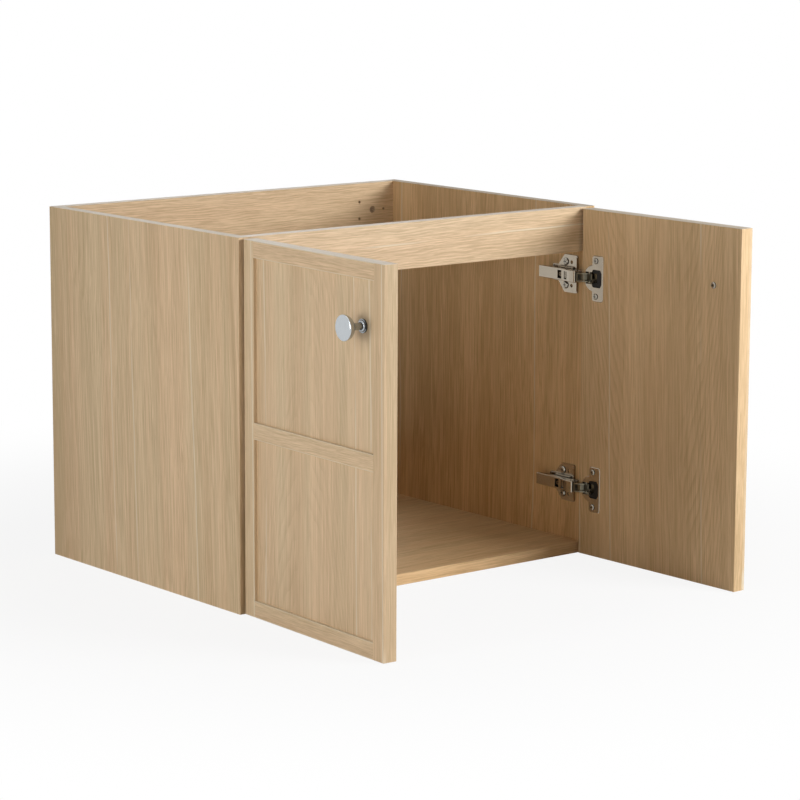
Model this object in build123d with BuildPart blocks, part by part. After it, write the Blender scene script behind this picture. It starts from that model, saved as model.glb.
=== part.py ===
from build123d import *
from math import atan2, degrees
import os

# Vanity base cabinet, millimetres. The origin is the middle of the carcass underside,
# +X to the right seen from the front, +Y towards the back, +Z up.

# Carcass boards
CARCASS_WIDTH = 590.0
CARCASS_DEPTH = 430.0
CARCASS_HEIGHT = 475.0
BOARD = 15.0
FRONT_RAIL_HEIGHT = 60.0
BACK_RAIL_HEIGHT = 80.0
FOOT_RAIL_HEIGHT = 80.0
EDGE_EASE = 0.5

# Glued dowels between the cross boards and the side panels
DOWEL_DIAMETER = 8.0
DOWEL_LENGTH = 30.0
DOWEL_IN_SIDE = 10.0
DOWEL_FROM_EDGE = 16.0
DOWEL_FROM_FRONT = 60.0
GLUE_GAP = 0.1
GLUE_POCKET = 1.0

# Bores in the back rail for the wall bolts, and the pilot holes beside them
WALL_BORE = 10.0
WALL_BORE_INSET = 38.0
WALL_BORE_DROP = 39.0
PILOT_BORE = 4.0
PILOT_DEPTH = 10.0
PAIR_PILOT_INSET = 61.6
PAIR_PILOT_SPREAD = 24.0
EDGE_PILOT_INSET = 17.7

# Doors
SIDE_REVEAL = 1.0
CENTRE_GAP = 2.0
BOTTOM_REVEAL = 1.0
TOP_REVEAL = 2.0
DOOR_GAP = 2.0
DOOR_BOARD = 15.0
STRIP_WIDTH = 21.0
STRIP_THICKNESS = 4.5
STRIP_EASE = 0.4
OPENINGS = {"left": 92.5, "right": 91.0}

# Knob
KNOB_FROM_FREE_EDGE = 47.5
KNOB_DROP = 77.0
KNOB_HEAD = 31.5
KNOB_FACE = 29.2
KNOB_PROJECTION = 29.6
KNOB_RIM_ROUND = 1.2
KNOB_HEAD_DEPTH = 11.5
KNOB_NECK = 8.8
KNOB_BASE = 17.0
KNOB_BASE_HEIGHT = 2.0
KNOB_COLLAR = 13.6
KNOB_COLLAR_HEIGHT = 2.4
KNOB_BORE_DEPTH = 12.0
KNOB_SCREW = 4.0
KNOB_SCREW_GRIP = 9.0
KNOB_SCREW_HEAD = 8.4
KNOB_SCREW_HEAD_HEIGHT = 2.4

# Hinge cup and its flange
HINGE_SPACING = 288.0
CUP_BORE = 35.0
CUP_BORE_DEPTH = 11.5
CUP_TAB = 5.0
CUP_SHEET = 0.7
CUP_FIT = 0.1
RIM_SHEET = 1.0
RIM_LAP = 0.4
RIM_NOTCH = 16.4
MOUTH_START = 15.0
MOUTH_LENGTH = 18.6
MOUTH_HEIGHT = 24.0
MOUTH_CORNER = 4.0
FLANGE_START = 15.0
FLANGE_WIDTH = 21.0
FLANGE_HEIGHT = 62.0
FLANGE_CORNER = 4.0
FLANGE_BEVEL = 0.6
CUP_SCREW_SPREAD = 48.0
CUP_SCREW_LEAD = 5.0
CUP_SCREW = 3.5
CUP_SCREW_LENGTH = 12.0
CUP_SCREW_HEAD = 7.6
CUP_SCREW_HEAD_HEIGHT = 1.8

# Plastic insert in the far side of the cup
INSERT_HEIGHT = 24.4
INSERT_START = 15.5
INSERT_SINK = 0.4
INSERT_CLEARANCE = 0.3
LINK_CHANNEL_HEIGHT = 13.8
LINK_CHANNEL_REACH = 23.4

# Hinge linkage, set out seen from above: distances inward from the side panel's inner
# face and back from the carcass front, and along and into the door from its hinged corner
SET_OUT_OPENING = 92.0
OPEN_CORNER_INSET = 9.75
OPEN_CORNER_LEAD = 4.0
OUTER_CUP_ALONG = 11.0
OUTER_CUP_DEEP = 3.0
OUTER_ARM_INSET = 16.5
INNER_CUP_ALONG = 9.7
INNER_CUP_DEEP = 8.0
INNER_ARM_INSET = 8.0
PIN = 3.0
PIN_FIT = 0.05
PIN_HEAD = 4.6
PIN_HEAD_HEIGHT = 0.6

# Outer link: two cheeks joined by a web, bowed to one side of its pivot line
OUTER_EYE = 5.0
OUTER_STRIP = 3.6
OUTER_CHEEK = 1.6
OUTER_WEB = 1.2
OUTER_BOW = ((7.0, 3.6), (13.6, 4.4), (19.0, 3.2))
OUTER_BEND = 2.5

# Inner link: a single hooked blade
INNER_EYE = 5.2
INNER_BLADE = 1.5
INNER_HEIGHT = 7.6
INNER_HOOK = ((2.8, 5.3), (7.1, 8.4), (12.1, 9.7), (15.2, 6.4), (16.8, 2.1))
INNER_BEND = 1.2
INNER_TIP = 2.6

# Hinge arm: a folded channel, lowest at the rear
ARM_WIDTH = 15.4
ARM_SHEET = 1.4
ARM_NOSE = 0.6
ARM_LENGTH = 78.6
ARM_NOSE_HEIGHT = 20.8
ARM_KNEE = 27.0
ARM_KNEE_HEIGHT = 16.8
ARM_SHOULDER = 10.0
ARM_TAIL_HEIGHT = 15.5
ARM_CHEEK_LOW = 4.8
ARM_CHEEK_HIGH = 9.0
ARM_CORNER = 2.0
ARM_BEVEL = 0.5
WINDOW_START = 17.0
WINDOW_LENGTH = 7.0
WINDOW_HEIGHT = 11.0
SLOT_START = 30.0
SLOT_LENGTH = 8.0
SLOT_HEIGHT = 11.4
LINK_CLEARANCE = 0.3
BLADE_CLEARANCE = 0.6

# Mounting plate on the side panel
PLATE_START = 14.0
PLATE_SHEET = 2.0
PLATE_WING_LENGTH = 38.0
PLATE_WING_HEIGHT = 51.4
PLATE_WING_TAPER = 12.0
PLATE_TAIL_LENGTH = 12.0
PLATE_TAIL_HEIGHT = 22.0
PLATE_CORNER = 3.0
PLATE_LIP = 2.6
PLATE_LIP_HEIGHT = 1.6
GUIDE_START = 5.0
GUIDE_LENGTH = 29.0
GUIDE_SHEET = 1.4
GUIDE_HEIGHT = 4.0
GUIDE_GAP = 0.5
RIDGE_START = 2.0
RIDGE_LENGTH = 39.0
RIDGE_HEIGHT = 12.0
PLATE_SCREW_LINE = 37.0
PLATE_SCREW_SPREAD = 32.0
PLATE_SCREW = 4.6
PLATE_SCREW_LENGTH = 14.0
PLATE_SCREW_HEAD = 9.6
PLATE_SCREW_HEAD_HEIGHT = 2.2
PLATE_SLOT_LENGTH = 4.0
SPARE_HOLE = 5.0
SPARE_HOLE_LEAD = 11.5
SCREW_FIT = 0.1

# Adjusting screws that join the arm to the plate's ridge
SIDE_SCREW_LINE = 20.5
DEPTH_SCREW_LINE = 34.0
ADJUSTER = 4.0
ADJUSTER_GRIP = 7.0
ADJUSTER_HEAD = 7.0
ADJUSTER_HEAD_HEIGHT = 1.6
ADJUSTER_SINK = 0.8

# Cross recess in every screw head
RECESS_SPAN = 0.56
RECESS_WIDTH = 0.8
RECESS_DEPTH = 1.0

# Sizes that follow from the above
INSIDE_WIDTH = CARCASS_WIDTH - 2 * BOARD
DOOR_WIDTH = (CARCASS_WIDTH - 2 * SIDE_REVEAL - CENTRE_GAP) / 2
DOOR_HEIGHT = CARCASS_HEIGHT - BOTTOM_REVEAL - TOP_REVEAL
DOOR_MIDDLE = BOTTOM_REVEAL + DOOR_HEIGHT / 2
DOOR_TOP = CARCASS_HEIGHT - TOP_REVEAL
HINGE_LEVELS = {
    "lower": DOOR_MIDDLE - HINGE_SPACING / 2,
    "upper": DOOR_MIDDLE + HINGE_SPACING / 2,
}
CUP_CENTRE = CUP_TAB + CUP_BORE / 2
DOWEL_BORE = DOWEL_DIAMETER + 2 * GLUE_GAP
SIDE_BORE_DEPTH = DOWEL_IN_SIDE + GLUE_POCKET
RAIL_BORE_DEPTH = DOWEL_LENGTH - DOWEL_IN_SIDE + GLUE_POCKET

# Dowel places, as distances back from the carcass front and up from its underside
BACK_MIDDLE = CARCASS_DEPTH - BOARD / 2
FRONT_RAIL_DOWELS = (
    (BOARD / 2, CARCASS_HEIGHT - DOWEL_FROM_EDGE),
    (BOARD / 2, CARCASS_HEIGHT - FRONT_RAIL_HEIGHT + DOWEL_FROM_EDGE),
)
BACK_RAIL_DOWELS = (
    (BACK_MIDDLE, CARCASS_HEIGHT - DOWEL_FROM_EDGE),
    (BACK_MIDDLE, CARCASS_HEIGHT - BACK_RAIL_HEIGHT + DOWEL_FROM_EDGE),
)
FOOT_RAIL_DOWELS = (
    (BACK_MIDDLE, BOARD + DOWEL_FROM_EDGE),
    (BACK_MIDDLE, BOARD + FOOT_RAIL_HEIGHT - DOWEL_FROM_EDGE),
)
BOTTOM_DOWELS = (
    (DOWEL_FROM_FRONT, BOARD / 2),
    (CARCASS_DEPTH / 2, BOARD / 2),
    (CARCASS_DEPTH - DOWEL_FROM_FRONT, BOARD / 2),
)
ALL_DOWELS = FRONT_RAIL_DOWELS + BACK_RAIL_DOWELS + FOOT_RAIL_DOWELS + BOTTOM_DOWELS

# Working planes of the left side. Pieces of the right side are their mirror images.
# SIDE_FACE lies on the side panel's inner face: x runs back, y up, z inward.
# SEEN_FROM_ABOVE has the same origin: x runs inward, y back, z up.
FRONT_CORNER = (-INSIDE_WIDTH / 2, -CARCASS_DEPTH / 2, 0)
SIDE_FACE = Plane(origin=FRONT_CORNER, x_dir=(0, 1, 0), z_dir=(1, 0, 0))
SEEN_FROM_ABOVE = Plane(origin=FRONT_CORNER, x_dir=(1, 0, 0), z_dir=(0, 0, 1))
BOARD_ENDS = ((SIDE_FACE, 1), (SIDE_FACE.offset(INSIDE_WIDTH), -1))


def door_point(corner, opening, along, deep):
    """Point on a door that stands open by an angle, from its hinged inner corner."""
    return corner + Vector(along, -deep).rotate(Axis.Z, -opening)


def side_face(level, height=0.0):
    """Plane over the side panel at a hinge's level: x runs back, y up, z inward."""
    return Plane(SIDE_FACE.from_local_coords((0, level, height)), SIDE_FACE.x_dir, SIDE_FACE.z_dir)


def arm_pivot(along, deep, inset):
    """Arm pivot as far from the cup pivot's closed place as from its open place."""
    closed = door_point(CLOSED_CORNER, 0, along, deep)
    opened = door_point(OPEN_CORNER, SET_OUT_OPENING, along, deep)
    middle = (closed + opened) / 2
    chord = opened - closed
    return Vector(inset, middle.Y - chord.X * (inset - middle.X) / chord.Y)


def bearing(start, end):
    """Direction from one point to another, in degrees counter-clockwise from +X."""
    return degrees(atan2(end.Y - start.Y, end.X - start.X))


def turned(point, centre, angle):
    """Point turned about a centre, counter-clockwise seen from above."""
    return centre + (point - centre).rotate(Axis.Z, angle)


# The linkage: cup pivots with the door closed and open, arm pivots, and each link's swing
CLOSED_CORNER = Vector(SIDE_REVEAL - BOARD, -DOOR_GAP)
OPEN_CORNER = Vector(OPEN_CORNER_INSET, -OPEN_CORNER_LEAD)
OUTER_PIVOT = arm_pivot(OUTER_CUP_ALONG, OUTER_CUP_DEEP, OUTER_ARM_INSET)
INNER_PIVOT = arm_pivot(INNER_CUP_ALONG, INNER_CUP_DEEP, INNER_ARM_INSET)
OUTER_CLOSED = door_point(CLOSED_CORNER, 0, OUTER_CUP_ALONG, OUTER_CUP_DEEP)
OUTER_OPEN = door_point(OPEN_CORNER, SET_OUT_OPENING, OUTER_CUP_ALONG, OUTER_CUP_DEEP)
INNER_CLOSED = door_point(CLOSED_CORNER, 0, INNER_CUP_ALONG, INNER_CUP_DEEP)
INNER_OPEN = door_point(OPEN_CORNER, SET_OUT_OPENING, INNER_CUP_ALONG, INNER_CUP_DEEP)
OUTER_SWING = bearing(OUTER_PIVOT, OUTER_CLOSED) - bearing(OUTER_PIVOT, OUTER_OPEN)
INNER_SWING = bearing(INNER_PIVOT, INNER_CLOSED) - bearing(INNER_PIVOT, INNER_OPEN)


def stance(opening):
    """Cup pivot, hinged corner and both links' turns for a door open by an angle.

    Both links turn in proportion to the opening, from their closed places to the places
    at the set-out opening, so that a door at either end sits exactly on both links.
    """
    share = 1 - opening / SET_OUT_OPENING
    pivot = turned(OUTER_OPEN, OUTER_PIVOT, share * OUTER_SWING)
    corner = pivot - door_point(Vector(0, 0), opening, OUTER_CUP_ALONG, OUTER_CUP_DEEP)
    return pivot, corner, share * OUTER_SWING, share * INNER_SWING


def door_face(opening):
    """Plane on the door's inner face: x along the door, y up, z towards its front."""
    corner = stance(opening)[1]
    along = Vector(1, 0).rotate(Axis.Z, -opening)
    outward = Vector(0, -1).rotate(Axis.Z, -opening)
    return Plane(origin=SEEN_FROM_ABOVE.from_local_coords(corner), x_dir=along, z_dir=outward)


def bowed(start, end, bends):
    """Pivot line with bends, each given along the line and out to its left."""
    line = (end - start).normalized()
    left = line.rotate(Axis.Z, 90)
    return [start] + [start + line * far + left * out for far, out in bends] + [end]


def finish(piece, name):
    """Give a piece its name and write it."""
    piece.part.label = name
    export_step(piece.part, f"parts/{name}.step")


def side_panel(side):
    """Side board with blind dowel bores and pilot holes for the mounting plates."""
    with BuildPart() as panel:
        with BuildSketch(SIDE_FACE):
            Rectangle(CARCASS_DEPTH, CARCASS_HEIGHT, align=Align.MIN)
        extrude(amount=-BOARD)
        chamfer(panel.faces().sort_by(Axis.Y)[0].edges(), EDGE_EASE)
        with BuildSketch(SIDE_FACE):
            with Locations(*ALL_DOWELS):
                Circle(DOWEL_BORE / 2)
        extrude(amount=-SIDE_BORE_DEPTH, mode=Mode.SUBTRACT)
        for level in HINGE_LEVELS.values():
            with BuildSketch(SIDE_FACE):
                with Locations((PLATE_SCREW_LINE, level)):
                    with GridLocations(0, PLATE_SCREW_SPREAD, 1, 2):
                        Circle(PLATE_SCREW / 2 + SCREW_FIT)
            extrude(amount=PLATE_SHEET - PLATE_SCREW_LENGTH - SCREW_FIT, mode=Mode.SUBTRACT)
        if side == "right":
            mirror(about=Plane.YZ, mode=Mode.REPLACE)
    finish(panel, f"{side}_side_panel")


def bottom_panel():
    """Bottom board between the side panels, flush with their front and lower edges."""
    with BuildPart() as panel:
        with BuildSketch(SIDE_FACE):
            Rectangle(CARCASS_DEPTH, BOARD, align=Align.MIN)
        extrude(amount=INSIDE_WIDTH)
        chamfer(panel.faces().sort_by(Axis.Y)[0].edges().filter_by(Axis.X), EDGE_EASE)
        for end, inward in BOARD_ENDS:
            with BuildSketch(end):
                with Locations(*BOTTOM_DOWELS):
                    Circle(DOWEL_BORE / 2)
            extrude(amount=inward * RAIL_BORE_DEPTH, mode=Mode.SUBTRACT)
    finish(panel, "bottom_panel")


def rail(name, front, low, height, dowels):
    """Rail between the side panels, a distance back from the carcass front."""
    with BuildPart() as board:
        with BuildSketch(SIDE_FACE):
            with Locations((front, low)):
                Rectangle(BOARD, height, align=Align.MIN)
        extrude(amount=INSIDE_WIDTH)
        chamfer(board.faces().sort_by(Axis.Y)[0].edges().filter_by(Axis.X), EDGE_EASE)
        for end, inward in BOARD_ENDS:
            with BuildSketch(end):
                with Locations(*dowels):
                    Circle(DOWEL_BORE / 2)
            extrude(amount=inward * RAIL_BORE_DEPTH, mode=Mode.SUBTRACT)
        if name == "back_top_rail":
            level = CARCASS_HEIGHT - WALL_BORE_DROP
            bolt = INSIDE_WIDTH / 2 - WALL_BORE_INSET
            pair = INSIDE_WIDTH / 2 - PAIR_PILOT_INSET
            edge = INSIDE_WIDTH / 2 - EDGE_PILOT_INSET
            room_face = Plane.XZ.offset(CARCASS_DEPTH / 2 - front)
            with BuildSketch(room_face):
                with Locations((0, level)):
                    with GridLocations(2 * bolt, 0, 2, 1):
                        Circle(WALL_BORE / 2)
            extrude(amount=-BOARD, mode=Mode.SUBTRACT)
            with BuildSketch(room_face):
                with Locations((0, level)):
                    with GridLocations(2 * pair, PAIR_PILOT_SPREAD, 2, 2):
                        Circle(PILOT_BORE / 2)
                    with GridLocations(2 * edge, 0, 2, 1):
                        Circle(PILOT_BORE / 2)
            extrude(amount=-PILOT_DEPTH, mode=Mode.SUBTRACT)
    finish(board, name)


def panel_dowels():
    """Every glued dowel, half in a side panel and half in a cross board."""
    with BuildPart() as dowels:
        for end, inward in BOARD_ENDS:
            with BuildSketch(end.offset(-inward * DOWEL_IN_SIDE)):
                with Locations(*ALL_DOWELS):
                    Circle(DOWEL_DIAMETER / 2)
            extrude(amount=inward * DOWEL_LENGTH)
    finish(dowels, "panel_dowels")


def door_board(side, opening):
    """Door board with cup bores, pilot holes for the cup screws and the knob's bore."""
    face = door_face(opening)
    with BuildPart() as board:
        with BuildSketch(face):
            with Locations((DOOR_WIDTH / 2, DOOR_MIDDLE)):
                Rectangle(DOOR_WIDTH, DOOR_HEIGHT)
        extrude(amount=DOOR_BOARD)
        inner = board.faces().sort_by(Axis(face.origin, face.z_dir))[0]
        chamfer(inner.edges(), STRIP_EASE)
        for level in HINGE_LEVELS.values():
            with BuildSketch(face):
                with Locations((CUP_CENTRE, level)):
                    Circle(CUP_BORE / 2)
            extrude(amount=CUP_BORE_DEPTH, mode=Mode.SUBTRACT)
            with BuildSketch(face):
                with Locations((CUP_CENTRE + CUP_SCREW_LEAD, level)):
                    with GridLocations(0, CUP_SCREW_SPREAD, 1, 2):
                        Circle(CUP_SCREW / 2 + SCREW_FIT)
            extrude(amount=CUP_SCREW_LENGTH - RIM_SHEET + SCREW_FIT, mode=Mode.SUBTRACT)
        with BuildSketch(face):
            with Locations((DOOR_WIDTH - KNOB_FROM_FREE_EDGE, DOOR_TOP - KNOB_DROP)):
                Circle(KNOB_SCREW / 2 + SCREW_FIT)
        extrude(amount=DOOR_BOARD, mode=Mode.SUBTRACT)
        if side == "right":
            mirror(about=Plane.YZ, mode=Mode.REPLACE)
    finish(board, f"{side}_door_board")


def door_strip(side, opening, name, along, up, width, height):
    """Flat strip glued on the door's front, placed by its middle."""
    face = door_face(opening)
    with BuildPart() as strip:
        with BuildSketch(face.offset(DOOR_BOARD)):
            with Locations((along, up)):
                Rectangle(width, height)
        extrude(amount=STRIP_THICKNESS)
        front = strip.faces().sort_by(Axis(face.origin, face.z_dir))[-1]
        chamfer(front.edges(), STRIP_EASE)
        if side == "right":
            mirror(about=Plane.YZ, mode=Mode.REPLACE)
    finish(strip, f"{side}_{name}")


def door_strips(side, opening):
    """Two full-height stiles and three strips between them."""
    half = STRIP_WIDTH / 2
    across = DOOR_WIDTH - 2 * STRIP_WIDTH
    middle = DOOR_WIDTH / 2
    door_strip(side, opening, "hinge_stile", half, DOOR_MIDDLE, STRIP_WIDTH, DOOR_HEIGHT)
    door_strip(side, opening, "free_stile", DOOR_WIDTH - half, DOOR_MIDDLE, STRIP_WIDTH, DOOR_HEIGHT)
    door_strip(side, opening, "top_strip", middle, DOOR_TOP - half, across, STRIP_WIDTH)
    door_strip(side, opening, "mid_strip", middle, DOOR_MIDDLE, across, STRIP_WIDTH)
    door_strip(side, opening, "bottom_strip", middle, BOTTOM_REVEAL + half, across, STRIP_WIDTH)


def knob_plane(opening):
    """Plane through the knob's axis: origin on the panel front, y out along the axis."""
    face = door_face(opening)
    foot = face.from_local_coords((DOOR_WIDTH - KNOB_FROM_FREE_EDGE, DOOR_TOP - KNOB_DROP, DOOR_BOARD))
    return Plane(origin=foot, x_dir=face.x_dir, z_dir=(0, 0, -1))


def knob(side, opening):
    """Turned mushroom knob: stepped base, neck and a flat-faced bowl of a head, bored for its screw."""
    plane = knob_plane(opening)
    collar_top = KNOB_BASE_HEIGHT + KNOB_COLLAR_HEIGHT
    rim_low = KNOB_PROJECTION - KNOB_RIM_ROUND
    neck_top = KNOB_PROJECTION - KNOB_HEAD_DEPTH
    bore = KNOB_SCREW / 2 + SCREW_FIT
    with BuildPart() as turned_knob:
        with BuildSketch(plane):
            with BuildLine():
                Polyline((0, KNOB_BORE_DEPTH), (bore, KNOB_BORE_DEPTH), (bore, 0), (KNOB_BASE / 2, 0),
                         (KNOB_BASE / 2, KNOB_BASE_HEIGHT), (KNOB_COLLAR / 2, KNOB_BASE_HEIGHT))
                TangentArc((KNOB_COLLAR / 2, KNOB_BASE_HEIGHT), (KNOB_NECK / 2, collar_top), tangent=(0, 1))
                Line((KNOB_NECK / 2, collar_top), (KNOB_NECK / 2, neck_top))
                TangentArc((KNOB_HEAD / 2, rim_low), (KNOB_NECK / 2, neck_top), tangent=(0, -1))
                TangentArc((KNOB_HEAD / 2, rim_low), (KNOB_FACE / 2, KNOB_PROJECTION), tangent=(0, 1))
                Polyline((KNOB_FACE / 2, KNOB_PROJECTION), (0, KNOB_PROJECTION), (0, KNOB_BORE_DEPTH))
            make_face()
        revolve(axis=Axis(plane.origin, plane.y_dir))
        if side == "right":
            mirror(about=Plane.YZ, mode=Mode.REPLACE)
    finish(turned_knob, f"{side}_knob")


def screw(plane, shank, length, head, head_height):
    """Pan-head screw on a plane: the shank runs down from it, the head stands on it."""
    with BuildPart() as piece:
        with BuildSketch(plane):
            Circle(shank / 2)
        extrude(amount=-length)
        with BuildSketch(plane):
            Circle(head / 2)
        extrude(amount=head_height)
        top = piece.faces().sort_by(Axis(plane.origin, plane.z_dir))[-1]
        chamfer(top.edges(), head_height / 2)
        with BuildSketch(plane.offset(head_height)):
            Rectangle(head * RECESS_SPAN, RECESS_WIDTH)
            Rectangle(RECESS_WIDTH, head * RECESS_SPAN)
        extrude(amount=-RECESS_DEPTH, mode=Mode.SUBTRACT)
    return piece.part


def knob_screw(side, opening):
    """Machine screw from the door's inner face into the knob."""
    axis_plane = knob_plane(opening)
    head_face = Plane(
        origin=axis_plane.origin - axis_plane.y_dir * DOOR_BOARD,
        x_dir=axis_plane.x_dir,
        z_dir=-axis_plane.y_dir,
    )
    body = screw(head_face, KNOB_SCREW, DOOR_BOARD + KNOB_SCREW_GRIP, KNOB_SCREW_HEAD,
                 KNOB_SCREW_HEAD_HEIGHT)
    with BuildPart() as piece:
        add(body)
        if side == "right":
            mirror(about=Plane.YZ, mode=Mode.REPLACE)
    finish(piece, f"{side}_knob_screw")


def hinge_cup(side, opening, name, level):
    """Pressed cup under a cover with a screwed flange, a mouth and a notch for the links."""
    face = door_face(opening)
    outer = CUP_BORE / 2 - CUP_FIT
    mouth = CUP_TAB + MOUTH_START
    with BuildPart() as cup:
        with BuildSketch(face):
            with Locations((CUP_CENTRE, level)):
                Circle(CUP_BORE / 2 + RIM_LAP)
            with Locations((CUP_TAB + FLANGE_START + FLANGE_WIDTH / 2, level)):
                RectangleRounded(FLANGE_WIDTH, FLANGE_HEIGHT, FLANGE_CORNER)
        extrude(amount=-RIM_SHEET)
        cover = cup.faces().sort_by(Axis(face.origin, face.z_dir))[0]
        chamfer(cover.edges(), FLANGE_BEVEL)
        with BuildSketch(face):
            with Locations((CUP_CENTRE, level)):
                Circle(outer)
        extrude(amount=CUP_BORE_DEPTH - CUP_FIT)
        with BuildSketch(face):
            with Locations((CUP_CENTRE, level)):
                Circle(outer - CUP_SHEET)
        extrude(amount=CUP_BORE_DEPTH - CUP_FIT - CUP_SHEET, mode=Mode.SUBTRACT)
        with BuildSketch(face.offset(-RIM_SHEET)):
            with Locations((mouth + MOUTH_LENGTH / 2, level)):
                RectangleRounded(MOUTH_LENGTH, MOUTH_HEIGHT, MOUTH_CORNER)
            with Locations((mouth + MOUTH_CORNER, level)):
                Rectangle(CUP_BORE, RIM_NOTCH, align=(Align.MAX, Align.CENTER))
        extrude(amount=RIM_SHEET, mode=Mode.SUBTRACT)
        with BuildSketch(face.offset(-RIM_SHEET)):
            with Locations((CUP_CENTRE + CUP_SCREW_LEAD, level)):
                with GridLocations(0, CUP_SCREW_SPREAD, 1, 2):
                    Circle(CUP_SCREW / 2 + SCREW_FIT)
        extrude(amount=RIM_SHEET, mode=Mode.SUBTRACT)
        with BuildSketch(SEEN_FROM_ABOVE.offset(level)):
            with Locations(stance(opening)[0]):
                Circle(PIN / 2)
        extrude(amount=CUP_BORE, both=True, mode=Mode.SUBTRACT)
        if side == "right":
            mirror(about=Plane.YZ, mode=Mode.REPLACE)
    finish(cup, f"{side}_{name}_hinge_cup")


def cup_insert(side, opening, name, level):
    """Plastic housing in the far side of the cup, forked around the links."""
    face = door_face(opening)
    room = CUP_BORE / 2 - CUP_FIT - CUP_SHEET - INSERT_CLEARANCE
    depth = CUP_BORE_DEPTH - CUP_FIT - CUP_SHEET - INSERT_SINK
    with BuildPart() as insert:
        with BuildSketch(face.offset(INSERT_SINK)):
            with Locations((CUP_CENTRE, level)):
                Circle(room)
            with Locations((CUP_TAB + INSERT_START, level)):
                Rectangle(CUP_BORE, INSERT_HEIGHT, align=(Align.MIN, Align.CENTER), mode=Mode.INTERSECT)
            with Locations((CUP_TAB, level)):
                Rectangle(LINK_CHANNEL_REACH, LINK_CHANNEL_HEIGHT, align=(Align.MIN, Align.CENTER),
                          mode=Mode.SUBTRACT)
        extrude(amount=depth)
        if side == "right":
            mirror(about=Plane.YZ, mode=Mode.REPLACE)
    finish(insert, f"{side}_{name}_cup_insert")


def cup_screws(side, opening):
    """Four wood screws through the cup flanges into the door."""
    face = door_face(opening).offset(-RIM_SHEET)
    with BuildPart() as screws:
        for level in HINGE_LEVELS.values():
            for up in (-CUP_SCREW_SPREAD / 2, CUP_SCREW_SPREAD / 2):
                place = face.from_local_coords((CUP_CENTRE + CUP_SCREW_LEAD, level + up, 0))
                plane = Plane(origin=place, x_dir=face.x_dir, z_dir=-face.z_dir)
                add(screw(plane, CUP_SCREW, CUP_SCREW_LENGTH, CUP_SCREW_HEAD, CUP_SCREW_HEAD_HEIGHT))
        if side == "right":
            mirror(about=Plane.YZ, mode=Mode.REPLACE)
    finish(screws, f"{side}_cup_screws")


def cup_pins(side, opening):
    """Stub pins from the cups' walls into the outer links' cheeks, clear of the blade between."""
    pivot = stance(opening)[0]
    wall = CUP_BORE / 2 - CUP_FIT - CUP_SHEET / 2
    reach = (wall**2 - (CUP_CENTRE - OUTER_CUP_ALONG + PIN / 2) ** 2) ** 0.5
    start = INNER_HEIGHT / 2 + BLADE_CLEARANCE
    with BuildPart() as pins:
        for level in HINGE_LEVELS.values():
            for outward in (-1, 1):
                with BuildSketch(SEEN_FROM_ABOVE.offset(level + outward * start)):
                    with Locations(pivot):
                        Circle(PIN / 2)
                extrude(amount=outward * (reach - start))
        if side == "right":
            mirror(about=Plane.YZ, mode=Mode.REPLACE)
    finish(pins, f"{side}_cup_pins")


def outer_link(side, opening, name, level):
    """Bowed link of two cheeks and a web that stops at its first bend."""
    turn = stance(opening)[2]
    places = [turned(place, OUTER_PIVOT, turn) for place in bowed(OUTER_PIVOT, OUTER_OPEN, OUTER_BOW)]
    outside = ARM_WIDTH / 2 - ARM_SHEET - LINK_CLEARANCE
    web_side = (places[1] - places[0]).normalized().rotate(Axis.Z, 90)
    web_middle = (OUTER_STRIP - OUTER_WEB) / 2
    with BuildPart() as link:
        with BuildSketch(SEEN_FROM_ABOVE.offset(level)):
            with BuildLine():
                FilletPolyline(*places, radius=OUTER_BEND)
            trace(line_width=OUTER_STRIP)
            with Locations(places[0], places[-1]):
                Circle(OUTER_EYE / 2)
        extrude(amount=outside, both=True)
        with BuildSketch(SEEN_FROM_ABOVE.offset(level)):
            with Locations((0, 0)):
                Rectangle(CUP_BORE * 2, CUP_BORE * 2)
            with BuildLine():
                Line(places[0] + web_side * web_middle, places[1] + web_side * web_middle)
            trace(line_width=OUTER_WEB, mode=Mode.SUBTRACT)
        extrude(amount=outside - OUTER_CHEEK, both=True, mode=Mode.SUBTRACT)
        with BuildSketch(SEEN_FROM_ABOVE.offset(level)):
            with Locations(places[0], places[-1]):
                Circle(PIN / 2 + PIN_FIT)
        extrude(amount=outside, both=True, mode=Mode.SUBTRACT)
        if side == "right":
            mirror(about=Plane.YZ, mode=Mode.REPLACE)
    finish(link, f"{side}_{name}_outer_link")


def inner_link(side, opening, name, level):
    """Hooked blade that runs between the outer link's cheeks into the cup."""
    turn = stance(opening)[3]
    places = [turned(place, INNER_PIVOT, turn) for place in bowed(INNER_PIVOT, INNER_OPEN, INNER_HOOK)]
    with BuildPart() as link:
        with BuildSketch(SEEN_FROM_ABOVE.offset(level)):
            with BuildLine():
                FilletPolyline(*places, radius=INNER_BEND)
            trace(line_width=INNER_BLADE)
            with Locations(places[0]):
                Circle(INNER_EYE / 2)
            with Locations(places[-1]):
                Circle(INNER_TIP / 2)
            with Locations(places[0]):
                Circle(PIN / 2 + PIN_FIT, mode=Mode.SUBTRACT)
        extrude(amount=INNER_HEIGHT / 2, both=True)
        if side == "right":
            mirror(about=Plane.YZ, mode=Mode.REPLACE)
    finish(link, f"{side}_{name}_inner_link")


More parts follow.
